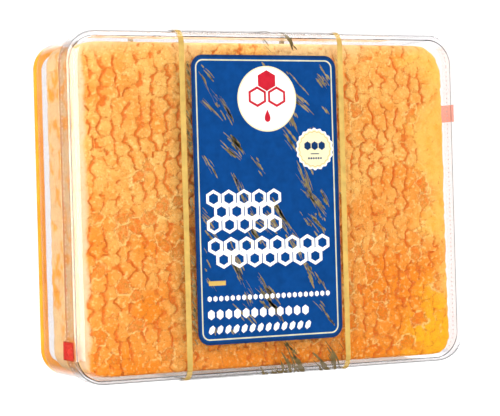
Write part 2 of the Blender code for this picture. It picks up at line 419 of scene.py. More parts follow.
def comb_relief(x, z, left, right, bottom, top, seed):
    """How deep the comb's face lies at each place, and the masks that colour it.

    A cap is a low dome. Its depth grows towards the border with the next cell: only a little
    between two cells of one column, and much more between columns, where noise along the border
    decides how wide and how deep the crevice is. Some cells are sunken inside a raised edge, more
    of them low down. The wax is flat along the top and the right edge.
    """
    def wander(amount, size, number):
        return amount * MM * (smooth_noise(x, z, size * MM, seed + number) - 0.5)

    wx = x + wander(2.2, 3.2, 0) + wander(1.5, 1.4, 1) + wander(3.0, 15, 2)
    wz = z + wander(2.6, 3.0, 3) + wander(1.5, 1.4, 4)
    distance, column, row = nearest_cells(wx, wz, seed + 5)
    border, same = distance[1] - distance[0], column[0] == column[1]
    cell = np.random.default_rng(seed + 6).random((64, 64, 3))[column % 64, row % 64]

    low = smooth_step(top - 35 * MM, bottom + 10 * MM, z)
    outer = smooth_step(32 * MM, 48 * MM, np.abs(x + 5 * MM))
    flat = smooth_step(15 * MM, 5 * MM, right - x + wander(14, 11, 7) + 0.12 * np.clip(top - 30 * MM - z, 0, None)
                       + 5 * MM * (cell[0, ..., 1] - 0.5))
    golden = 0.5 * flat
    top_flat = smooth_step(11 * MM, 3 * MM, top - z + wander(9, 12, 8) + 4 * MM)
    flat = np.maximum(flat, top_flat)
    # Along the left side the wax is flat and gets the milky pale wash, which is partly painted highlight: the white
    # shine of the lid's rounded rim in front of it.
    side = smooth_step(3.6 * MM, 1.8 * MM, x - left + wander(1.6, 4, 17))
    flat = np.maximum(flat, side)
    corner = smooth_step(27 * MM, 9 * MM, np.hypot(right - x, z - bottom) + wander(9, 8, 9) + 12 * MM * (cell[0, ..., 1] - 0.5))
    to_edge = np.minimum(np.minimum(x - left, right - x), np.minimum(top - z, z - bottom))

    broken = 0.35 * smooth_noise(1.3 * x, z, 8 * MM, seed + 10) + 0.65 * smooth_noise(1.5 * x, z, 2.6 * MM, seed + 11)
    strength = smooth_step(0.30, 0.56, broken) * (1 - 0.75 * flat) * (1 - 0.6 * corner)
    width = np.where(same, 0.12 + 0.5 * strength, 0.20 + 1.15 * strength) * MM
    crevice = smooth_step(1.0, 0.1, border / width) * np.where(same, 0.25 + 0.25 * strength, 0.40 + 0.5 * strength)
    crevice *= 1 - 0.5 * np.maximum(flat, corner)
    inside = to_edge > 4 * MM
    is_sunken = (cell[..., 0] < 0.05 + 0.20 * low * outer) & inside
    sunken = np.where(is_sunken[0], smooth_step(0.5 * MM, 1.3 * MM, border), 0.0) * (1 - flat)
    ridge = np.where(is_sunken[0] | is_sunken[1], smooth_step(0.75 * MM, 0.1 * MM, border), 0.0)
    ridge = np.maximum(ridge, 0.8 * smooth_step(0.14, 0.03, np.abs(wander(1, 6, 12)) / MM * 5) * smooth_step(
        0.8 * MM, 0.2 * MM, border)) * (1 - 0.5 * flat)
    crevice *= 1 - ridge
    dome = 0.40 * MM * smooth_step(2.6 * MM, 0.0, border) * np.where(same, 0.4, 1.0)
    depth = (0.35 * MM + dome + (0.6 * crevice + 0.45 * sunken - 0.2 * ridge + 0.25 * cell[0, ..., 1]) * MM
             + wander(0.35, 2.0, 13) + wander(0.5, 22, 14) + wander(0.22, 0.9, 15))
    tone = (0.30 * outer + 0.60 * low + 0.40 * (cell[0, ..., 2] - 0.5) + wander(0.8, 10, 16) / MM
            + 0.35 * smooth_step(9 * MM, 2 * MM, z - bottom))
    deep = np.maximum(crevice, 0.46 * sunken) + 0.14 * smooth_step(1.8 * MM, 0.3 * MM, border) * (1 - flat)
    return depth, {"deep": deep, "tone": tone, "flat_wax": flat,
                   "golden": np.maximum(corner, golden), "ridge": ridge, "milky_highlight": np.maximum(side, 0.5 * top_flat)}


# %% [markdown]
# The slab has two layers of cells, back to back on a sheet of wax. Along the cut sides, a darker line
# is painted where the two layers meet: painted shade in that seam. Each layer is its own closed
# piece: a relief over the face, walls down the cut sides, where opened cells show as round-bottomed
# grooves, and a flat sheet where the layers meet.

# %% Make the two layers of the comb
FACE_STEP = 0.43 * MM
SIDE_STEPS = 14
CORNERS = {"top_left": 6.5 * MM, "top_right": 10.5 * MM, "bottom_left": 8.2 * MM, "bottom_right": 6.8 * MM}


def slab_side(z, low, high, bottom_radius, top_radius):
    """How far a side of the slab stands in from its straight line at each height: the rounded corners."""
    up = np.clip(z - (high - top_radius), 0, top_radius)
    down = np.clip(low + bottom_radius - z, 0, bottom_radius)
    return (top_radius - np.sqrt(top_radius ** 2 - up ** 2)
            + bottom_radius - np.sqrt(bottom_radius ** 2 - down ** 2))


def shoulder(distance, radius):
    """Depth of a quarter-round edge at a distance in from the side."""
    reach = np.clip(distance, 0, radius)
    return radius - np.sqrt(radius ** 2 - (radius - reach) ** 2)


def comb_layer(name, face_y, seam_y, step, seed, left_shoulder, material):
    """One layer of the slab, from the caps at face_y to the sheet at seam_y, as a closed piece."""
    left, right = comb_low.x, comb_high.x
    bottom, top = comb_low.z, comb_high.z
    columns, rows = round((right - left) / step), round((top - bottom) / step)
    z = np.linspace(bottom, top, rows)[:, None]
    ragged = 0.5 * MM * smooth_noise(0.0, z, 7 * MM, seed + 20)
    x_left = left + ragged + slab_side(z, bottom, top, CORNERS["bottom_left"], CORNERS["top_left"])
    x_right = right - ragged - 0.9 * MM * (z - bottom) / (top - bottom) - slab_side(z, bottom, top, CORNERS["bottom_right"], CORNERS["top_right"])
    x = x_left + (x_right - x_left) * np.linspace(0, 1, columns)[None, :]
    z = np.broadcast_to(z, x.shape)
    depth, masks = comb_relief(x, z, left, right, bottom, top, seed)
    depth = depth + shoulder(x - x_left, left_shoulder)
    depth += np.maximum.reduce([shoulder(x_right - x, 1.6 * MM), shoulder(top - z, 1.6 * MM),
                                shoulder(z - bottom, 1.6 * MM)])
    inward = math.copysign(1.0, seam_y - face_y)
    face = np.stack([x, face_y + inward * depth, z], -1).reshape(-1, 3)

    edge = np.concatenate([np.arange(columns - 1), np.arange(rows - 1) * columns + columns - 1,
                           rows * columns - 1 - np.arange(columns - 1), (rows - 1 - np.arange(rows - 1)) * columns])
    rim = face[edge]
    share = np.linspace(0, 1, SIDE_STEPS + 1)[1:, None]
    along = np.where(np.abs(rim[:, 0] - (left + right) / 2) / (right - left)
                     > np.abs(rim[:, 2] - (bottom + top) / 2) / (top - bottom),
                     rim[:, 2] / CELL_PITCH, rim[:, 0] / COLUMN_PITCH)[None, :]
    along = along + 0.25 * (smooth_noise(along * 5 * MM, share * 15 * MM, 4 * MM, seed + 21) - 0.5)
    groove = np.sqrt(np.abs(np.sin(np.pi * along)))
    opened = smooth_step(0.25, 0.6, smooth_noise(along * 5 * MM, share * 9 * MM, 9 * MM, seed + 22))
    inset = 0.9 * MM * groove * opened * np.sin(np.pi * share) ** 0.4
    out = np.stack([rim[:, 0] - (left + right) / 2, rim[:, 2] - (bottom + top) / 2], -1)
    half = np.array([(right - left) / 2 - 8 * MM, (top - bottom) / 2 - 8 * MM])
    normal = out - np.clip(out, -half, half)
    normal /= np.maximum(np.linalg.norm(normal, axis=1, keepdims=True), 1e-9)
    side = np.stack([rim[:, 0] - normal[:, 0] * inset,
                     rim[:, 1] + (seam_y - rim[:, 1]) * share,
                     rim[:, 2] - normal[:, 1] * inset], -1)
    points = np.concatenate([face, side.reshape(-1, 3)])

    loop = len(edge)
    start = rows * columns
    faces = grid_faces(rows, columns).tolist()
    walls = grid_faces(SIDE_STEPS, loop, wrap_columns=True, start=start)[:, ::-1].tolist()
    ahead = np.roll(edge, -1)
    first = start + np.arange(loop)
    joint = np.stack([edge, first, np.roll(first, -1), ahead], -1).tolist()
    back = (start + (SIDE_STEPS - 1) * loop + np.arange(loop))[::-1].tolist()
    piece = new_piece(name, points, faces + joint + walls + [back], material,
                      flip=inward < 0, sharp=60.0)
    blob = smooth_step(0.45, 0.72, 0.6 * smooth_noise(along * 5 * MM, share * 14 * MM, 4.5 * MM, seed + 23)
                       + 0.4 * smooth_noise(along * 5 * MM, share * 14 * MM, 1.8 * MM, seed + 24))
    # A darker line along the seam, where the two layers meet, is painted shade.
    seam_shade = smooth_step(0.90, 0.97, share)
    # Between the orange blobs the cut sides get the milky pale wash, partly the wax's own tone and partly painted
    # highlight from the clear walls over them.
    sides = {"deep": 0.62 * seam_shade + 0 * blob, "tone": 0.25 + 0.7 * blob, "flat_wax": 1 - blob,
             "golden": 0.5 * blob, "ridge": 0 * blob, "milky_highlight": 0.55 * (1 - blob)}
    give_values(piece, **{key: np.concatenate([masks[key].ravel(), sides[key].ravel()]) for key in masks})
    return piece


comb_material = new_material("honeycomb_wax", (0.9, 0.5, 0.15), 0.45, Specular_IOR_Level=0.04)
comb_seam = (comb_low.y + comb_high.y) / 2
comb_front = comb_layer("comb_front", comb_low.y, comb_seam - 0.02 * MM, FACE_STEP, 11, 3.6 * MM, comb_material)
comb_back = comb_layer("comb_back", comb_high.y, comb_seam + 0.02 * MM, FACE_STEP * 1.25, 57, 1.2 * MM, comb_material)
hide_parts("honeycomb")
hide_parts("honeycomb")

# %% Colour the comb
PEACH = (0.89, 0.475, 0.118, 1.0)
AMBER = (0.87, 0.255, 0.016, 1.0)
EMBER = (0.76, 0.165, 0.012, 1.0)
PALE = (0.88, 0.580, 0.190, 1.0)
GOLDEN = (0.97, 0.440, 0.015, 1.0)
CREAM = (1.00, 0.680, 0.240, 1.0)
# The milky colour is partly the wax's own pale tone and partly painted highlight: the whitish shine of the clear
# plastic over the comb's shoulder, top and sides.
MILKY_HIGHLIGHT = (0.77, 0.540, 0.310, 1.0)
OLIVE = (0.52, 0.185, 0.020, 1.0)


def read_value(name):
    """Return the socket of a number stored on the comb."""
    return add_node(comb_material, "ShaderNodeAttribute", attribute_name=name).outputs["Fac"]


def mix_in(colour, amount, other):
    """Mix another colour over a colour of the comb by an amount."""
    return mix_colours(comb_material, amount, colour, other)


def value_math(operation, one, two):
    """A sum, product or other operation on two values of the comb's material."""
    return add_node(comb_material, "ShaderNodeMath", {0: one, 1: two}, operation=operation).outputs[0]


fine = place_group(comb_material, mottle, Scale=1250.0, Low=0.40, High=0.60)
coarse = place_group(comb_material, mottle, Scale=480.0, Low=0.36, High=0.64)
patches = place_group(comb_material, mottle, Scale=300.0, Low=0.42, High=0.66)
dark_specks = place_group(comb_material, mottle, Scale=1500.0, Low=0.56, High=0.64)
# Pale cream specks over the caps are painted highlights: small glints of light on the wax.
painted_glints = place_group(comb_material, mottle, Scale=800.0, Low=0.54, High=0.68)
ragged = value_math("ADD", read_value("deep"), value_math("MULTIPLY", value_math("SUBTRACT", fine, 0.5), 0.26))
ragged = value_math("ADD", ragged, value_math("MULTIPLY", value_math("SUBTRACT", coarse, 0.5), 0.26))


def thin_line(value, level, reach, strength):
    """A line where a value passes a level: full at the level, gone at a reach to each side."""
    away = value_math("ABSOLUTE", value_math("SUBTRACT", value, level), 0.0)
    return add_node(comb_material, "ShaderNodeMapRange", {"Value": away, "From Min": 0.2 * reach, "From Max": reach,
                                                          "To Min": strength, "To Max": 0.0}).outputs[0]


edge_line = thin_line(ragged, 0.34, 0.09, 0.6)
wrinkle = value_math("MULTIPLY", thin_line(coarse, 0.5, 0.10, 0.4), value_math("SUBTRACT", 1.0, read_value("flat_wax")))
fill = add_node(comb_material, "ShaderNodeMapRange", {"Value": ragged, "From Min": 0.28, "From Max": 0.66}).outputs[0]
colour = mix_in(PEACH, read_value("tone"), AMBER)
colour = mix_in(colour, value_math("MULTIPLY", patches, 0.45), AMBER)
colour = mix_in(colour, value_math("MULTIPLY", painted_glints, 0.6), CREAM)
soft_wax = value_math("SUBTRACT", 0.9, value_math("MULTIPLY", patches, 0.5))
colour = mix_in(colour, value_math("MULTIPLY", read_value("flat_wax"), soft_wax), PALE)
colour = mix_in(colour, read_value("golden"), GOLDEN)
colour = mix_in(colour, value_math("MULTIPLY", read_value("ridge"), 0.85), CREAM)
colour = mix_in(colour, read_value("milky_highlight"), MILKY_HIGHLIGHT)
colour = mix_in(colour, value_math("MULTIPLY", fill, 0.8), EMBER)
colour = mix_in(colour, wrinkle, OLIVE)
colour = mix_in(colour, edge_line, OLIVE)
colour = mix_in(colour, value_math("MULTIPLY", dark_specks, 0.2), OLIVE)
comb_shader = comb_material.node_tree.nodes["Principled BSDF"]
comb_material.node_tree.links.new(colour, comb_shader.inputs["Base Color"])
bump = add_node(comb_material, "ShaderNodeBump", {"Height": fine, "Strength": 0.35, "Distance": 0.0003})
comb_material.node_tree.links.new(bump.outputs["Normal"], comb_shader.inputs["Normal"])

# %% [markdown]
# ## The box
#
# The lid and the tray are blown from thin clear sheet, so each is a shell with two skins a wall
# apart. Its section is drawn once, from the middle of the inner skin over the lip to the middle of
# the outer one, and carried round a rounded rectangle. Solidify on a single skin would also do it,
# but a drawn section gives the lip its own rolled shape.

# %% Make the lid and the tray
CORNER_RADIUS = 10.3 * MM
TRAY_INSET = 1.2 * MM
LID_WALL = 0.3 * MM
LID_ROUND = 4.5 * MM
TRAY_WALL = 0.3 * MM
TRAY_ROUND = 4.0 * MM
RIM_STEPS = 12
LIP_STEPS = 8


def shell(name, low, high, corner, wall, rounding, face_y, lip_y, material):
    """A dish: a flat face at face_y, a rounded rim, straight walls to a rolled lip at lip_y.

    The section is a list of places and directions, each as how far in from the outline and how
    deep. A quarter circle makes each skin's rim, and a half circle a wall wide makes the lip. The
    directions are the surface's own normals, so that light bends evenly through the flat walls.
    """
    inward = math.copysign(1.0, lip_y - face_y)
    length = abs(lip_y - face_y)
    turn = np.linspace(0, np.pi / 2, RIM_STEPS + 1)
    roll = np.linspace(0, np.pi, LIP_STEPS + 1)
    rim = np.stack([np.sin(turn), np.cos(turn)], -1)
    lip = np.stack([np.cos(roll), np.sin(roll)], -1)
    place = np.concatenate([rounding - (rounding - wall) * rim, [wall / 2, length - wall / 2] + wall / 2 * lip,
                            rounding - rounding * rim[::-1]])
    facing = np.concatenate([rim, lip, -rim[::-1]])
    x, z = rounded_loop((high.x - low.x) / 2 - place[:, 0], (high.z - low.z) / 2 - place[:, 0],
                        corner - place[:, 0])
    angle = (np.arange(4)[:, None] * np.pi / 2 + np.linspace(0, np.pi / 2, CORNER_STEPS + 1)).ravel()[None, :]
    points = np.stack([x + (low.x + high.x) / 2, 0 * x + (face_y + inward * place[:, 1])[:, None],
                       z + (low.z + high.z) / 2], -1)
    normals = np.stack([-facing[:, :1] * np.cos(angle), inward * facing[:, 1:] + 0 * angle,
                        -facing[:, :1] * np.sin(angle)], -1)
    rows, count = x.shape
    faces = [list(range(count))[::-1]] + grid_faces(rows, count, wrap_columns=True).tolist()
    faces += [((rows - 1) * count + np.arange(count)).tolist()]
    return new_piece(name, points, faces, material, flip=inward < 0, normals=normals)


def uneven_gloss(material, scale, low, high, bump_height):
    """Let a surface's gloss waver between two roughnesses, and make it very slightly wavy."""
    shader = material.node_tree.nodes["Principled BSDF"]
    mask = place_group(material, mottle, Scale=scale)
    rough = add_node(material, "ShaderNodeMapRange", {"Value": mask, "To Min": low, "To Max": high})
    wavy = add_node(material, "ShaderNodeBump", {"Height": mask, "Strength": 0.3, "Distance": bump_height})
    material.node_tree.links.new(rough.outputs["Result"], shader.inputs["Roughness"])
    material.node_tree.links.new(wavy.outputs["Normal"], shader.inputs["Normal"])


clear_plastic = new_material("clear_plastic", (0.992, 0.978, 0.985), 0.03, Transmission_Weight=1.0, IOR=1.36)
let_lamps_through(clear_plastic, (0.99, 0.98, 0.982))
uneven_gloss(clear_plastic, 60.0, 0.0, 0.03, 0.0001)
lid = shell("lid_shell", lid_low, lid_high, CORNER_RADIUS, LID_WALL, LID_ROUND, lid_low.y, lid_high.y,
            clear_plastic)
tray = shell("tray_shell", tray_low, tray_high, CORNER_RADIUS - TRAY_INSET, TRAY_WALL, TRAY_ROUND,
             tray_high.y, tray_low.y, clear_plastic)
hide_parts("lid")
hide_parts("tray")

# %% [markdown]
# A row of tiny dots is moulded round the lid's skirt, a little in front of its free edge, to
# stiffen it. One small dome is worked out and set down at even steps along the outline. An array
# modifier on a curve would do the same, but whole arrays leave one plain mesh.

# %% Add the moulded dots
DOT_STEP = 1.55 * MM
DOT_RADIUS = 0.24 * MM
DOT_SETBACK = 9.3 * MM


def along_loop(x, z, travelled):
    """Places on a closed loop of points at given lengths along it, with the directions pointing out."""
    x, z = np.append(x, x[0]), np.append(z, z[0])
    length = np.concatenate([[0.0], np.cumsum(np.hypot(np.diff(x), np.diff(z)))])
    travelled = np.mod(travelled, length[-1])
    step = 0.01 * MM
    ahead = [np.interp(travelled + step, length, v) - np.interp(travelled - step, length, v) for v in (x, z)]
    ahead = np.stack(ahead, -1) / np.maximum(np.hypot(*ahead), 1e-12)[:, None]
    return np.interp(travelled, length, x), np.interp(travelled, length, z), ahead[:, 1], -ahead[:, 0], length[-1]


def dot_row(name, material):
    """Small domes round the skirt, left out where the film sleeve covers it.

    Each dome is a sphere of six by four faces, sunk into the wall so that only a low cap stands out.
    """
    loop_x, loop_z = rounded_loop((lid_high.x - lid_low.x) / 2, (lid_high.z - lid_low.z) / 2, CORNER_RADIUS)
    round_length = along_loop(loop_x[0], loop_z[0], np.zeros(1))[4]
    x, z, out_x, out_z, _ = along_loop(loop_x[0], loop_z[0], np.arange(0, round_length, DOT_STEP))
    clear = (np.abs(x - (sleeve_low.x + sleeve_high.x) / 2) > (sleeve_high.x - sleeve_low.x) / 2 + 1 * MM) | (
        np.abs(z) < (lid_high.z - lid_low.z) / 2 - 1 * MM)
    x, z, out_x, out_z = (v[clear][:, None] for v in (x, z, out_x, out_z))
    rise, turn = np.meshgrid(np.linspace(0, np.pi, 6)[1:-1], np.linspace(0, 2 * np.pi, 6, endpoint=False), indexing="ij")
    out, side, deep = (np.cos(rise).ravel(), (np.sin(rise) * np.cos(turn)).ravel(), (np.sin(rise) * np.sin(turn)).ravel())
    out, side, deep = (np.concatenate([v, tip]) * DOT_RADIUS for v, tip in ((out, [1, -1]), (side, [0, 0]), (deep, [0, 0])))
    lift = out - 0.45 * DOT_RADIUS
    points = np.stack([x + (lid_low.x + lid_high.x) / 2 + lift * out_x - side * out_z,
                       0 * x + lid_low.y + DOT_SETBACK + deep, z + MIDDLE + lift * out_z + side * out_x], -1)
    belt = grid_faces(4, 6, wrap_columns=True).tolist()
    caps = [[24, (i + 1) % 6, i] for i in range(6)] + [[25, 18 + i, 18 + (i + 1) % 6] for i in range(6)]
    faces = [[v + 26 * dot for v in face] for dot in range(len(x)) for face in belt + caps]
    return new_piece(name, points, faces, material)


dot_plastic = new_material("dot_plastic", (0.62, 0.40, 0.37), 0.25)
uneven_gloss(dot_plastic, 900.0, 0.2, 0.4, 0.0001)
dot_row("skirt_dots", dot_plastic)

# %% [markdown]
# ## The honey
#
# Some honey has run out of the comb and set in the tray's inner corner, behind the comb on the left
# side. It is a swept bead: its section is a quarter round that fits the tray's rounded rim, with a
# hollow free face as a liquid's edge has. It reaches just into the wall, so that no gap shows.

# %% Run the honey bead round the tray's corner
HONEY_FRONT = 14.6 * MM
HONEY_DEEP = 3.4 * MM


def honey_bead(name, material):
    """Sweep the bead's section down the left side and round both corners, thinning to nothing at its ends.

    The section goes along the wall, round the rim's quarter circle and back over the hollow face.
    At each step of the way it is scaled towards the middle of the rim's curve.
    """
    overlap = TRAY_WALL - 0.1 * MM
    radius = TRAY_ROUND - overlap
    turn = np.linspace(0, np.pi / 2, 9)
    wall_y = tray_high.y - TRAY_ROUND
    back = np.linspace(0, 1, 12)[1:-1]
    deep = np.concatenate([np.linspace(0, 0, 6), radius * (1 - np.cos(turn[1:])),
                           HONEY_DEEP * (1 - back) + 0.9 * MM * (1 - back) ** 2])
    y = np.concatenate([np.linspace(HONEY_FRONT, wall_y, 6), wall_y + radius * np.sin(turn[1:]),
                        wall_y + radius - (wall_y + radius - HONEY_FRONT) * back ** 0.72])
    deep = np.minimum(deep, radius) + overlap
    way = np.linspace(0, 1, 150)
    size = np.clip(np.sin(np.pi * way) * 3.2, 0.02, 1.0) ** 0.5
    free_face = np.concatenate([np.zeros(len(turn) + 5), np.sin(np.pi * back)])
    uneven = smooth_noise(way * 0.1, 0 * way, 9 * MM, 71)[:, None] * free_face
    size = size[:, None] * (1 - 0.25 * uneven)
    middle_deep, middle_y = overlap + 0.3 * radius, wall_y + 0.7 * radius
    section_deep = middle_deep + (deep[None, :] - middle_deep) * size
    section_y = middle_y + (y[None, :] - middle_y) * size
    half_x, half_z = (tray_high.x - tray_low.x) / 2, (tray_high.z - tray_low.z) / 2
    corner = CORNER_RADIUS - TRAY_INSET
    loop_x, loop_z = rounded_loop(half_x, half_z, corner)
    quarter = np.pi / 2 * corner
    start = (half_z - corner) + quarter + 2 * (half_x - corner) - 7 * MM - (half_z - corner)
    finish = start + 7 * MM + quarter + 2 * (half_z - corner) + quarter + 20 * MM
    x, z, out_x, out_z, _ = along_loop(loop_x[0], loop_z[0], start + (finish - start) * way)
    points = np.stack([(tray_low.x + tray_high.x) / 2 + x[:, None] - section_deep * out_x[:, None], section_y,
                       (tray_low.z + tray_high.z) / 2 + z[:, None] - section_deep * out_z[:, None]], -1)
    count = points.shape[1]
    faces = grid_faces(len(way), count, wrap_columns=True).tolist()
    faces += [list(range(count))[::-1], ((len(way) - 1) * count + np.arange(count)).tolist()]
    piece = new_piece(name, points, faces, material)
    edge = np.abs((section_y - HONEY_FRONT) / (wall_y + radius - HONEY_FRONT) - 0.5) * 2
    give_values(piece, edge=edge)
    return piece


# The honey's emission is a painted glow: the bead shines from within, in place of the light that falls on it through
# the plastic.
honey = new_material("honey", (0.80, 0.33, 0.02), 0.15, Specular_IOR_Level=0.06,
                     Emission_Color=(0.75, 0.45, 0.01, 1.0), Emission_Strength=0.26)
edge_value = add_node(honey, "ShaderNodeAttribute", attribute_name="edge").outputs["Fac"]
edge_mask = add_node(honey, "ShaderNodeMapRange", {"Value": edge_value, "From Min": 0.88, "From Max": 0.99}).outputs[0]
streaks = mix_colours(honey, place_group(honey, mottle, Scale=140.0, Low=0.35, High=0.65),
                      (1.0, 0.50, 0.035, 1.0), (0.97, 0.37, 0.012, 1.0))
honey.node_tree.links.new(mix_colours(honey, edge_mask, streaks, (0.62, 0.20, 0.012, 1.0)),
                          honey.node_tree.nodes["Principled BSDF"].inputs["Base Color"])
honey_bead("honey_bead", honey)

# %% [markdown]
# ## The film sleeve and its print
#
# A band of clear film goes round the middle of the box. All of its print is flat shapes on that
# film, so a place on it is two numbers: x across the band, and s along it, which is the height
# above the middle on the front and goes on round the rims. One function bends any such shape round
# the box, so a stripe, a panel and a brush fleck are all drawn flat first. A print could also be a
# picture on the film, but shapes of their own stay sharp at any distance.

# %% Bend flat shapes round the box
FILM_LIFT = 0.30 * MM
FILM_THICK = 0.12 * MM
PRINT_THICK = 0.028 * MM
BACK_ROUND = 4.0 * MM


def band_table():
    """Places and outward directions along the band, with the length travelled from the front's middle.

    The band's section is a rounded rectangle in y and z: four straight runs and four quarter circles.
    """
    half_y, half_z = (tray_high.y - lid_low.y) / 2, (lid_high.z - lid_low.z) / 2
    mid_y = (tray_high.y + lid_low.y) / 2
    rounds = [(-half_y + LID_ROUND, half_z - LID_ROUND, LID_ROUND, np.pi),
              (half_y - BACK_ROUND, half_z - BACK_ROUND, BACK_ROUND, np.pi / 2),
              (half_y - BACK_ROUND, -half_z + BACK_ROUND, BACK_ROUND, 0.0),
              (-half_y + LID_ROUND, -half_z + LID_ROUND, LID_ROUND, -np.pi / 2)]
    turn = np.linspace(0, np.pi / 2, 25)
    place, outward = [np.array([[-half_y, 0.0]])], [np.array([[-1.0, 0.0]])]
    for y, z, radius, start in rounds:
        away = np.stack([np.cos(start - turn), np.sin(start - turn)], -1)
        place.append(np.array([y, z]) + radius * away)
        outward.append(away)
    place, outward = np.concatenate(place + [place[0]]), np.concatenate(outward + [outward[0]])
    travelled = np.concatenate([[0.0], np.cumsum(np.linalg.norm(np.diff(place, axis=0), axis=1))])
    return place + np.array([mid_y, MIDDLE]), outward, travelled


BAND_PLACE, BAND_OUT, BAND_LENGTH = band_table()
BAND_ROUND = BAND_LENGTH[-1]


def on_band(x, s, lift):
    """Points on the band: x across, s along from the front's middle, lift away from the box."""
    x, s = np.broadcast_arrays(x, s)
    along = np.mod(s, BAND_ROUND)
    y = np.interp(along, BAND_LENGTH, BAND_PLACE[:, 0]) + lift * np.interp(along, BAND_LENGTH, BAND_OUT[:, 0])
    z = np.interp(along, BAND_LENGTH, BAND_PLACE[:, 1]) + lift * np.interp(along, BAND_LENGTH, BAND_OUT[:, 1])
    return np.stack([x, y, z], -1)


print(f"the band is {1000 * BAND_ROUND:.1f} mm round")

# %% Make the film
clear_film = new_material("clear_film", (0.99, 0.985, 0.985), 0.03, Transmission_Weight=1.0, IOR=1.20)
let_lamps_through(clear_film, (0.98, 0.97, 0.97))
uneven_gloss(clear_film, 90.0, 0.01, 0.05, 0.00003)
around = np.unique(np.concatenate([BAND_LENGTH[:-1], np.linspace(0, BAND_ROUND, 90, endpoint=False)]))
edges = [(sleeve_low.x, FILM_LIFT + FILM_THICK), (sleeve_high.x, FILM_LIFT + FILM_THICK),
         (sleeve_high.x, FILM_LIFT), (sleeve_low.x, FILM_LIFT)]
film_points = np.stack([on_band(x, around, lift) for x, lift in edges], 1)
film_out = on_band(0 * around, around, 1.0) - on_band(0 * around, around, 0.0)
film = new_piece("film_sleeve", film_points, grid_faces(len(around), 4, True, True).tolist(), clear_film,
                 normals=np.stack([film_out, film_out, -film_out, -film_out], 1))
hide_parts("sleeve")

# %% Shapes for the print


def print_piece(name, x, s, faces, layer, material):
    """A flat printed shape, bent round the box, on the numbered layer above the film."""
    lift = FILM_LIFT + FILM_THICK + (layer + 1) * PRINT_THICK
    piece = new_piece(name, on_band(x, s, lift), faces, material)
    piece.data.shade_flat()
    thicken = piece.modifiers.new("ink", "SOLIDIFY")
    thicken.thickness = 0.6 * PRINT_THICK
    thicken.offset = -1.0
    return piece


def ring(name, x_outer, s_outer, x_inner, s_inner, layer, material):
    """The strip between an outer loop and an inner loop with as many points."""
    count = len(x_outer)
    return print_piece(name, np.stack([x_inner, x_outer]), np.stack([s_inner, s_outer]),
                       grid_faces(2, count, wrap_columns=True)[:, ::-1].tolist(), layer, material)


def filled(name, x, s, layer, material):
    """A loop of points filled with one flat face."""
    return print_piece(name, x, s, [list(range(len(x)))], layer, material)


def panel_loop(inset):
    """The label panel's outline, drawn in by inset: a rounded rectangle."""
    half_x, half_s = (PANEL_RIGHT - PANEL_LEFT) / 2, (PANEL_TOP - PANEL_BOTTOM) / 2
    x, s = rounded_loop(half_x - inset, half_s - inset, PANEL_ROUND - inset)
    return x[0] + (PANEL_LEFT + PANEL_RIGHT) / 2, s[0] + (PANEL_BOTTOM + PANEL_TOP) / 2


def printed(name, colour, roughness=0.12, uneven=0.12, metallic=0.0):
    """An ink: its colour wavers a little, as print on film does."""
    material = new_material(name, colour, roughness, Metallic=metallic, Specular_IOR_Level=0.15)
    dark = tuple(c * (1 - uneven) for c in colour) + (1.0,)
    light = tuple(min(1.0, c * (1 + uneven)) for c in colour) + (1.0,)
    mixed = mix_colours(material, place_group(material, mottle, Scale=350.0), dark, light)
    material.node_tree.links.new(mixed, material.node_tree.nodes["Principled BSDF"].inputs["Base Color"])
    return material


# %% Print the stripes and the label panel
PANEL_LEFT, PANEL_RIGHT = -31.3 * MM, 22.3 * MM
PANEL_BOTTOM, PANEL_TOP = -46.1 * MM, 49.0 * MM
PANEL_ROUND = 4.2 * MM
STRIPE_WIDTH = 1.9 * MM

blue_ink = printed("blue_ink", (0.003, 0.050, 0.205))
navy_ink = printed("navy_ink", (0.008, 0.035, 0.12))
line_ink = printed("pale_gold_ink", (0.62, 0.60, 0.42))
gold_ink = printed("gold_ink", (0.60, 0.39, 0.105))
white_ink = printed("white_ink", (0.92, 0.92, 0.92), uneven=0.03)
cream_ink = printed("cream_ink", (0.83, 0.74, 0.47), uneven=0.05)
red_ink = printed("red_ink", (0.50, 0.015, 0.03))

along = np.linspace(0, BAND_ROUND, 240, endpoint=False)
for name, x0 in (("gold_stripe_left", sleeve_low.x), ("gold_stripe_right", sleeve_high.x - STRIPE_WIDTH)):
    x = np.stack([np.full_like(along, x0), np.full_like(along, x0 + STRIPE_WIDTH)], -1)
    print_piece(name, x, along[:, None] + 0 * x, grid_faces(len(along), 2, wrap_rows=True).tolist(), 0, gold_ink)

filled("label_panel", *panel_loop(0.0), 1, blue_ink)
ring("label_border", *panel_loop(0.0), *panel_loop(0.9 * MM), 2, navy_ink)
ring("label_line", *panel_loop(1.5 * MM), *panel_loop(1.95 * MM), 2, line_ink)

# %% Print the disc and the seal
turn = np.linspace(0, 2 * np.pi, 144, endpoint=False)


def round_loop(x, s, radius, waves=0, wave=0.0):
    """A circle, or one whose radius swells and sinks a number of times on its way round."""
    r = radius * (1 + wave * np.cos(waves * turn))
    return x + r * np.cos(turn), s + r * np.sin(turn)


DISC = (-3.9 * MM, 34.5 * MM, 10.9 * MM)
SEAL = (13.5 * MM, 17.6 * MM, 6.9 * MM)
filled("disc_rim", *round_loop(*DISC), 3, cream_ink)
filled("disc_face", *round_loop(*DISC[:2], DISC[2] - 0.5 * MM), 4, white_ink)
filled("seal_edge", *round_loop(*SEAL, 20, 0.035), 3, white_ink)
filled("seal_face", *round_loop(*SEAL[:2], SEAL[2] - 0.45 * MM, 20, 0.035), 4, cream_ink)
ring("seal_line", *round_loop(*SEAL[:2], SEAL[2] - 1.0 * MM, 20, 0.03),
     *round_loop(*SEAL[:2], SEAL[2] - 1.2 * MM, 20, 0.03), 5, gold_ink)

# %% [markdown]
# The label carries no words here. Where a maker would set them, it has rows of honeycomb cells in
# the same white, a small cluster of cells with a drop on the disc, and three cells over a rule on
# the seal. A row is one mesh: the outline of one cell is repeated by adding each cell's place.

# %% Print the rows of cells


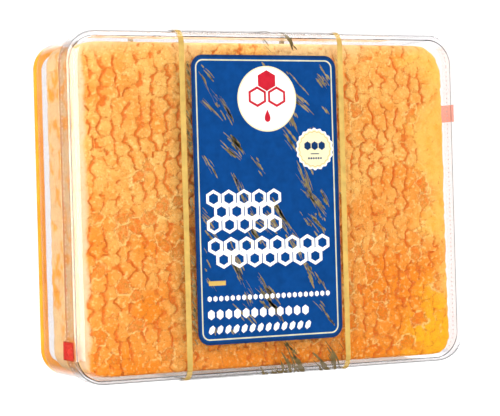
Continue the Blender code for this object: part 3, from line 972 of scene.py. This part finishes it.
def cell_row(name, left, right, middle, height, count, stroke, layer, material, gap=0.12, lean=0.0):
    """A row of six-sided cells between left and right, each an outline of the given stroke.

    A cell is as tall as the row. Its points are at the top, the bottom and a quarter of the height
    from each, and lean shifts each point across in proportion to its height. A stroke of 0 fills it.
    """
    pitch = (right - left) / (count - gap)
    width = pitch * (1 - gap)
    corner_x = np.array([0.0, 0.5, 0.5, 0.0, -0.5, -0.5])
    corner_s = np.array([0.5, 0.25, -0.25, -0.5, -0.25, 0.25])
    middles = left + width / 2 + pitch * np.arange(count)
    loops = []
    for inset in ((0.0, stroke) if stroke else (0.0,)):
        s = corner_s * (height - 2.3 * inset)
        x = corner_x * (width - 2.0 * inset) + lean * s
        loops.append(np.stack([middles[:, None] + x, middle + s + 0 * middles[:, None]], -1))
    points = np.concatenate(loops, axis=1)
    one = grid_faces(2, 6, wrap_columns=True) if stroke else np.arange(6)[None, ::-1]
    faces = (one[None] + np.arange(count)[:, None, None] * points.shape[1]).reshape(-1, one.shape[1]).tolist()
    return print_piece(name, points[..., 0], points[..., 1], faces, layer, material)


def cell_block(name, left, right, low, high, columns, rows, stroke):
    """Rows of cells that fit into each other, every second row half a cell along and one cell short."""
    height = (high - low) / (1 + 0.75 * (rows - 1))
    half_pitch = (right - left) / columns / 2
    for row in range(rows):
        inset = half_pitch * (row % 2)
        cell_row(f"{name}_{row}", left + inset, right - inset, high - height * (0.5 + 0.75 * row), height,
                 columns - row % 2, stroke, 3, white_ink, gap=0.06)


cell_block("label_cells_large", -27.1 * MM, 0.3 * MM, -9.9 * MM, 4.7 * MM, 5, 3, 0.95 * MM)
cell_block("label_cells_wide", -26.9 * MM, 18.1 * MM, -21.3 * MM, -10.9 * MM, 8, 2, 1.05 * MM)
cell_row("label_cells_line", -27.6 * MM, 17.7 * MM, -31.0 * MM, 1.9 * MM, 22, 0.0, 3, white_ink, gap=0.3)
cell_row("label_cells_upper", -27.6 * MM, 9.5 * MM, -36.2 * MM, 3.4 * MM, 12, 0.0, 3, white_ink, gap=0.25)
cell_row("label_cells_lower", -27.3 * MM, 10.1 * MM, -41.2 * MM, 3.0 * MM, 13, 0.0, 3, white_ink, gap=0.35, lean=0.3)
filled("label_dash", *(np.array(v) * MM for v in ([-27.0, -20.9, -20.9, -27.0], [-26.7, -26.7, -25.2, -25.2])), 3, gold_ink)

disc_x, disc_s, disc_radius = DISC
red_cell = 3.7 * MM
for index, (x, s, stroke) in enumerate(((-1.0, 0.32, 0.8), (1.0, 0.32, 0.8), (0.0, 2.0, 0.0))):
    cell_row(f"disc_cell_{index}", disc_x + (0.97 * x - 0.87) * red_cell, disc_x + (0.97 * x + 0.87) * red_cell,
             disc_s + (s - 0.1) * 0.86 * red_cell, 2 * red_cell * 0.94, 1, stroke * MM, 5, red_ink, gap=0.0)
drop_turn = np.linspace(0, 2 * np.pi, 40, endpoint=False)
drop_x = 1.5 * MM * np.sin(drop_turn) * np.sin(drop_turn / 2) ** 1.4
filled("disc_drop", (disc_x + drop_x)[::-1], (disc_s - 5.6 * MM + 2.1 * MM * np.cos(drop_turn))[::-1], 5, red_ink)

seal_x, seal_s, seal_radius = SEAL
cell_row("seal_cells", seal_x - 3.9 * MM, seal_x + 3.9 * MM, seal_s + 1.1 * MM, 3.0 * MM, 3, 0.0, 5, navy_ink, gap=0.1)
cell_row("seal_dots", seal_x - 2.6 * MM, seal_x + 2.6 * MM, seal_s - 3.1 * MM, 0.8 * MM, 6, 0.0, 5, navy_ink, gap=0.3)
filled("seal_rule", seal_x + np.array([-1.6, 1.6, 1.6, -1.6]) * MM, seal_s + np.array([-1.75, -1.75, -1.45, -1.45]) * MM,
       5, navy_ink)

# %% [markdown]
# The dry-brush flecks are clusters of thin ribbons that run down to the right. Each ribbon is a
# centre line with a half-width that swells and dies away, roughened with noise. All ribbons are
# worked out at once and go into one mesh.

# %% Print the brush flecks


def flecks(name, count, low_x, high_x, low_s, high_s, seed, layer, material, longest=12.0, widest=0.40):
    """Clusters of tapering ribbons with ragged edges, scattered over a rectangle of the band.

    Each ribbon runs along its own direction from its cluster's place, at a small shift along and
    across. Its half-width is a sine to a low power, times a random number at each step.
    """
    rng = np.random.default_rng(seed)
    steps, bunch = 14, 8
    total = count * bunch
    centre_x = np.repeat(rng.uniform(low_x, high_x, count), bunch)
    centre_s = np.repeat(rng.uniform(low_s, high_s, count), bunch)
    lean = np.radians(np.repeat(rng.normal(-56, 7, count), bunch) + rng.normal(0, 2.5, total))
    length = np.repeat(rng.uniform(2.5, longest, count), bunch) * rng.uniform(0.2, 1.0, total) * MM
    aside, ahead = rng.normal(0, 0.8, total) * MM, rng.normal(0, 2.2, total) * MM
    wide = rng.uniform(0.06, widest, total) ** 1.2 * MM
    along_x, along_s = np.cos(lean)[:, None], np.sin(lean)[:, None]
    t = np.linspace(0, 1, steps)[None, :]
    half = wide[:, None] * np.sin(np.pi * (0.04 + 0.92 * t)) ** 0.6 * rng.uniform(0.45, 1.2, (total, steps))
    forth = ahead[:, None] + (t - 0.5) * length[:, None]
    over = aside[:, None] + 0.03 * length[:, None] * np.sin(np.pi * t)
    x = np.stack([centre_x[:, None] + forth * along_x - (over + sign * half) * along_s for sign in (1, -1)], -1)
    s = np.stack([centre_s[:, None] + forth * along_s + (over + sign * half) * along_x for sign in (1, -1)], -1)
    keep = (x.min((1, 2)) > low_x) & (x.max((1, 2)) < high_x) & (s.min((1, 2)) > low_s) & (s.max((1, 2)) < high_s)
    x, s = x[keep], s[keep]
    one = grid_faces(steps, 2)[:, ::-1]
    faces = (one[None] + np.arange(len(x))[:, None, None] * steps * 2).reshape(-1, 4).tolist()
    return print_piece(name, x, s, faces, layer, material)


fleck_ink = printed("fleck_ink", (0.26, 0.20, 0.090), uneven=0.3)
flecks("label_flecks", 62, PANEL_LEFT + 2.2 * MM, PANEL_RIGHT - 2.2 * MM, PANEL_BOTTOM + 2.2 * MM,
       PANEL_TOP - 2.2 * MM, 5, 2, fleck_ink, widest=0.48)
rim_fleck_ink = printed("rim_fleck_ink", (0.15, 0.105, 0.04), uneven=0.3)
flecks("rim_flecks_top", 7, PANEL_LEFT + 14 * MM, PANEL_RIGHT + 0.5 * MM, PANEL_TOP + 0.6 * MM,
       PANEL_TOP + 16 * MM, 6, 0, rim_fleck_ink, widest=0.6)
flecks("rim_flecks_bottom", 13, PANEL_LEFT + 22 * MM, PANEL_RIGHT + 0.5 * MM, PANEL_BOTTOM - 16 * MM,
       PANEL_BOTTOM - 0.6 * MM, 8, 0, rim_fleck_ink, longest=15.0, widest=0.8)
for name, low_x, high_x, seed in (("side_flecks_left", sleeve_low.x + STRIPE_WIDTH, PANEL_LEFT, 12),
                                  ("side_flecks_right", PANEL_RIGHT, sleeve_high.x - STRIPE_WIDTH, 13)):
    flecks(name, 70, low_x + 0.1 * MM, high_x - 0.1 * MM, PANEL_BOTTOM, PANEL_TOP, seed, 0, fleck_ink, longest=4.0)

# %% [markdown]
# ## The seal tapes
#
# A short strip of red tape crosses the seam between the lid and the tray on each side. The packed
# strips already have the right shape, so they stay, and only get a finish: a clear red with a
# darker border and faint creases.

# %% Finish the seal tapes
# The right tape lets far more through than the left, which is painted light: the same red tape is made to read paler on
# that side.
for name, clearness_and_painted_light in (("seal_tape_left", 0.5), ("seal_tape_right", 0.92)):
    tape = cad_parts[name]
    low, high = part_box(name)
    red_tape = new_material(f"{name}_red", (0.80, 0.02, 0.03), 0.22, Specular_IOR_Level=0.25)
    place = add_node(red_tape, "ShaderNodeTexCoord").outputs["Object"]
    across = add_node(red_tape, "ShaderNodeSeparateXYZ", {"Vector": place})
    borders = []
    for axis, middle, half in (("Y", (low.y + high.y) / 2, (high.y - low.y) / 2), ("Z", (low.z + high.z) / 2, (high.z - low.z) / 2)):
        away = add_node(red_tape, "ShaderNodeMath", {0: across.outputs[axis], 1: middle}, operation="SUBTRACT")
        size = add_node(red_tape, "ShaderNodeMath", {0: away.outputs[0]}, operation="ABSOLUTE")
        borders.append(add_node(red_tape, "ShaderNodeMapRange", {
            "Value": size.outputs[0], "From Min": half - 0.45 * MM, "From Max": half - 0.15 * MM}).outputs[0])
    border = add_node(red_tape, "ShaderNodeMath", {0: borders[0], 1: borders[1]}, operation="MAXIMUM")
    faded = mix_colours(red_tape, place_group(red_tape, mottle, Scale=250.0), (0.80, 0.018, 0.028, 1.0), (0.70, 0.012, 0.020, 1.0))
    red = mix_colours(red_tape, border.outputs[0], faded, (0.42, 0.008, 0.012, 1.0))
    red_tape.node_tree.links.new(red, red_tape.node_tree.nodes["Principled BSDF"].inputs["Base Color"])
    uneven_gloss(red_tape, 300.0, 0.18, 0.30, 0.0001)
    see_through = add_node(red_tape, "ShaderNodeBsdfTransparent", {"Color": (1.0, 0.68, 0.61, 1.0)})
    lit_through = add_node(red_tape, "ShaderNodeMixShader", {
        0: clearness_and_painted_light, 1: red_tape.node_tree.nodes["Principled BSDF"].outputs["BSDF"], 2: see_through.outputs["BSDF"]})
    red_tape.node_tree.links.new(lit_through.outputs["Shader"],
                                 red_tape.node_tree.nodes["Material Output"].inputs["Surface"])
    tape.data.materials.clear()
    tape.data.materials.append(red_tape)
    print(name, "gets the tape's finish")
